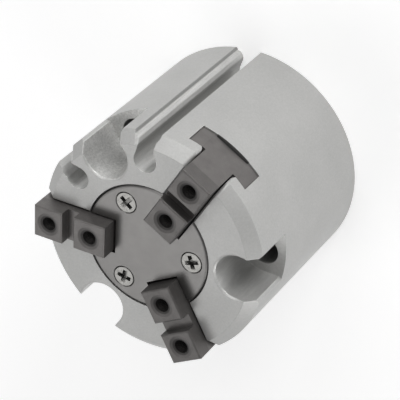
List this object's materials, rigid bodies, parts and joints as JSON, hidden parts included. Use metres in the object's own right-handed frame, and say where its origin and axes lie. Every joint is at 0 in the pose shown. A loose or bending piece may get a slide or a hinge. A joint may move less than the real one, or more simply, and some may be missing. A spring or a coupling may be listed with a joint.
{
  "type": "three jaw centric gripper",
  "caption": "Round pneumatic gripper whose steel fingers slide in T-slots and open and close together, driven by a piston and a wedge cam.",
  "frame": {"origin": "centre of the rear mounting face, at the mouth of the rear pilot", "axes": "+Z along the gripper's axis towards the fingers, +X along finger A"},
  "size_m": [0.042, 0.042, 0.04],
  "materials": {
    "anodised_body": "blasted and clear anodised, satin",
    "plate_steel": "fine turned stainless steel, satin",
    "screw_steel": "bright stainless steel",
    "finger_steel": "heat-treated dark steel, matt",
    "cam_steel": "ground hardened steel",
    "piston_aluminium": "turned aluminium",
    "bolt_steel": "black oxide steel",
    "seal_rubber": "moulded nitrile rubber",
    "wear_plastic": "bearing plastic",
    "magnet_rubber": "rubber-bonded magnet",
    "holder_aluminium": "turned aluminium",
    "cap_aluminium": "clear anodised, satin",
    "spring_steel": "phosphated spring steel"
  },
  "bodies": {
    "housing": {"body": "anodised_body", "end_plate": "plate_steel", "end_plate_screw_1": "screw_steel", "end_plate_screw_2": "screw_steel", "end_plate_screw_3": "screw_steel", "cap": "cap_aluminium", "cap_gasket": "seal_rubber", "retaining_ring": "spring_steel", "rod_seal": "seal_rubber"},
    "piston_set": {"cam": "cam_steel", "piston": "piston_aluminium", "piston_bolt": "bolt_steel", "bolt_gasket": "seal_rubber", "piston_seal": "seal_rubber", "wear_ring": "wear_plastic", "magnet": "magnet_rubber", "magnet_holder": "holder_aluminium"},
    "jaw_a": {"finger_a": "finger_steel"},
    "jaw_b": {"finger_b": "finger_steel"},
    "jaw_c": {"finger_c": "finger_steel"}
  },
  "joints": [
    {"name": "piston_slide", "type": "slide", "parent": "housing", "child": "piston_set", "axis": [0, 0, 1], "range_m": [0, 0.004]},
    {"name": "finger_a_slide", "type": "slide", "parent": "housing", "child": "jaw_a", "axis": [1, 0, 0], "range_m": [0, 0.003]},
    {"name": "finger_b_slide", "type": "slide", "parent": "housing", "child": "jaw_b", "axis": [-0.5, 0.866, 0], "range_m": [0, 0.003]},
    {"name": "finger_c_slide", "type": "slide", "parent": "housing", "child": "jaw_c", "axis": [-0.5, -0.866, 0], "range_m": [0, 0.003]}
  ],
  "couplings": [
    {"joint": "finger_a_slide", "follows": "piston_slide", "ratio": 0.75},
    {"joint": "finger_b_slide", "follows": "piston_slide", "ratio": 0.75},
    {"joint": "finger_c_slide", "follows": "piston_slide", "ratio": 0.75}
  ]
}
